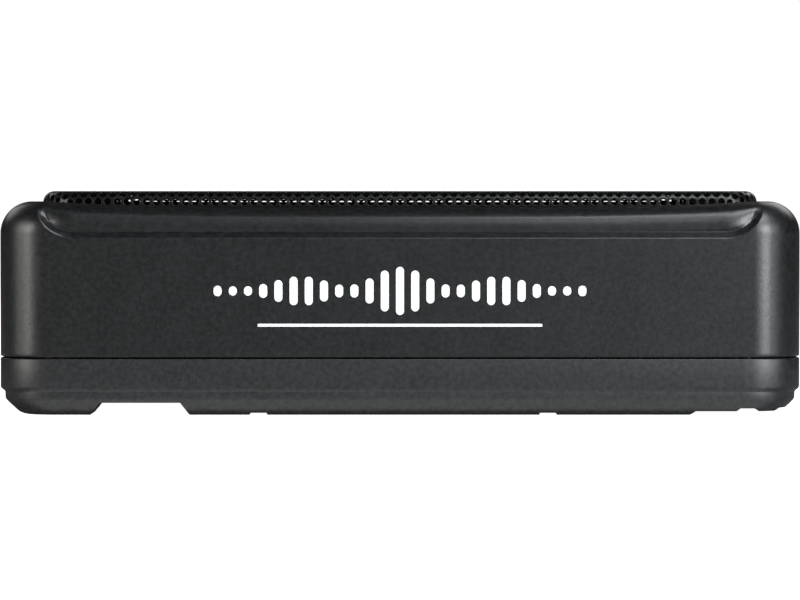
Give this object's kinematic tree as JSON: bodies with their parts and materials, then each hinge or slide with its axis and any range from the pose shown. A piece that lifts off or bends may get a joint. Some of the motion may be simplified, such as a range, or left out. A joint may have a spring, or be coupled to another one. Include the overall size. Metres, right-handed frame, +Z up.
{
  "type": "powered car subwoofer",
  "caption": "Flat under-seat active subwoofer with a perforated grille top, shallow upward-firing driver, built-in amplifier and a recessed rear panel of controls and sockets.",
  "frame": {"origin": "centre of the footprint, on the surface that the subwoofer stands on", "axes": "+X across the short side, +Y from the plain short side to the connection panel, +Z up"},
  "size_m": [0.25, 0.345, 0.0695],
  "materials": {
    "upper_shell": "satin black moulded plastic with a fine grain",
    "lower_shell": "satin charcoal moulded plastic",
    "foam": "black closed-cell foam",
    "grille_steel": "black powder-coated perforated steel",
    "basket_steel": "black painted pressed steel",
    "surround_rubber": "matt butyl rubber",
    "cone_paper": "black pressed paper pulp",
    "cap_plastic": "satin black dome",
    "former_aluminium": "plain aluminium",
    "copper_wire": "enamelled copper",
    "spider_cloth": "resin-treated woven cloth",
    "zinc_steel": "zinc-plated steel",
    "ferrite": "ground ferrite",
    "black_plastic": "matt black plastic",
    "knob_rubber": "soft black plastic",
    "circuit_board": "green solder mask",
    "epoxy": "moulded epoxy",
    "capacitor_sleeve": "shrink sleeve",
    "gold_plate": "gold-plated",
    "fuse_amber": "clear amber plastic",
    "led_lens": "blue lens",
    "black_screw": "black phosphated steel"
  },
  "bodies": {
    "cabinet": {"upper_housing": "upper_shell", "lower_housing": "lower_shell", "housing_gasket": "foam", "driver_gasket": "foam", "grille": "grille_steel", "driver_basket": "basket_steel", "surround": "surround_rubber", "heat_spreader": "former_aluminium", "tinsel_lead_left": "copper_wire", "tinsel_lead_right": "copper_wire", "toroid_inductor": "copper_wire", "spider": "spider_cloth", "top_plate": "zinc_steel", "pole_yoke": "zinc_steel", "magnet": "ferrite", "output_inductor": "ferrite", "driver_terminal_block": "black_plastic", "rear_panel": "black_plastic", "power_terminal": "black_plastic", "fuse_holder": "black_plastic", "high_level_socket": "black_plastic", "remote_port": "black_plastic", "amp_board": "circuit_board", "control_board": "circuit_board", "power_transistor_1": "epoxy", "power_transistor_2": "epoxy", "power_transistor_3": "epoxy", "power_transistor_4": "epoxy", "capacitor_1": "capacitor_sleeve", "capacitor_2": "capacitor_sleeve", "capacitor_3": "capacitor_sleeve", "rca_jack_left": "gold_plate", "rca_jack_right": "gold_plate", "fuse_1": "fuse_amber", "fuse_2": "fuse_amber", "power_led": "led_lens", "housing_screw_1": "black_screw", "housing_screw_2": "black_screw", "housing_screw_3": "black_screw", "housing_screw_4": "black_screw", "housing_screw_5": "black_screw", "housing_screw_6": "black_screw", "driver_screw_1": "black_screw", "driver_screw_2": "black_screw", "driver_screw_3": "black_screw", "driver_screw_4": "black_screw", "driver_screw_5": "black_screw", "driver_screw_6": "black_screw", "panel_screw_1": "black_screw", "panel_screw_2": "black_screw", "panel_screw_3": "black_screw", "panel_screw_4": "black_screw"},
    "cone_assembly": {"cone": "cone_paper", "dust_cap": "cap_plastic", "voice_coil_former": "former_aluminium", "voice_coil": "copper_wire"},
    "level_control": {"level_knob": "knob_rubber"},
    "low_pass_control": {"low_pass_knob": "knob_rubber"},
    "bass_boost_control": {"bass_boost_knob": "knob_rubber"},
    "phase_control": {"phase_switch_lever": "black_plastic"}
  },
  "joints": [
    {"name": "cone_excursion", "type": "slide", "parent": "cabinet", "child": "cone_assembly", "axis": [0, 0, 1], "range_m": [-0.006, 0.006], "stiffness_N_per_m": 4800, "deforming": ["surround", "spider", "tinsel_lead_left", "tinsel_lead_right"]},
    {"name": "level_turn", "type": "hinge", "parent": "cabinet", "child": "level_control", "pos_m": [-0.045, 0.168, 0.039], "axis": [0, 1, 0], "range_deg": [-150, 150]},
    {"name": "low_pass_turn", "type": "hinge", "parent": "cabinet", "child": "low_pass_control", "pos_m": [-0.058, 0.168, 0.039], "axis": [0, 1, 0], "range_deg": [-150, 150]},
    {"name": "bass_boost_turn", "type": "hinge", "parent": "cabinet", "child": "bass_boost_control", "pos_m": [-0.071, 0.168, 0.039], "axis": [0, 1, 0], "range_deg": [-150, 150]},
    {"name": "phase_slide", "type": "slide", "parent": "cabinet", "child": "phase_control", "axis": [0, 0, 1], "range_m": [0, 0.0025]}
  ]
}
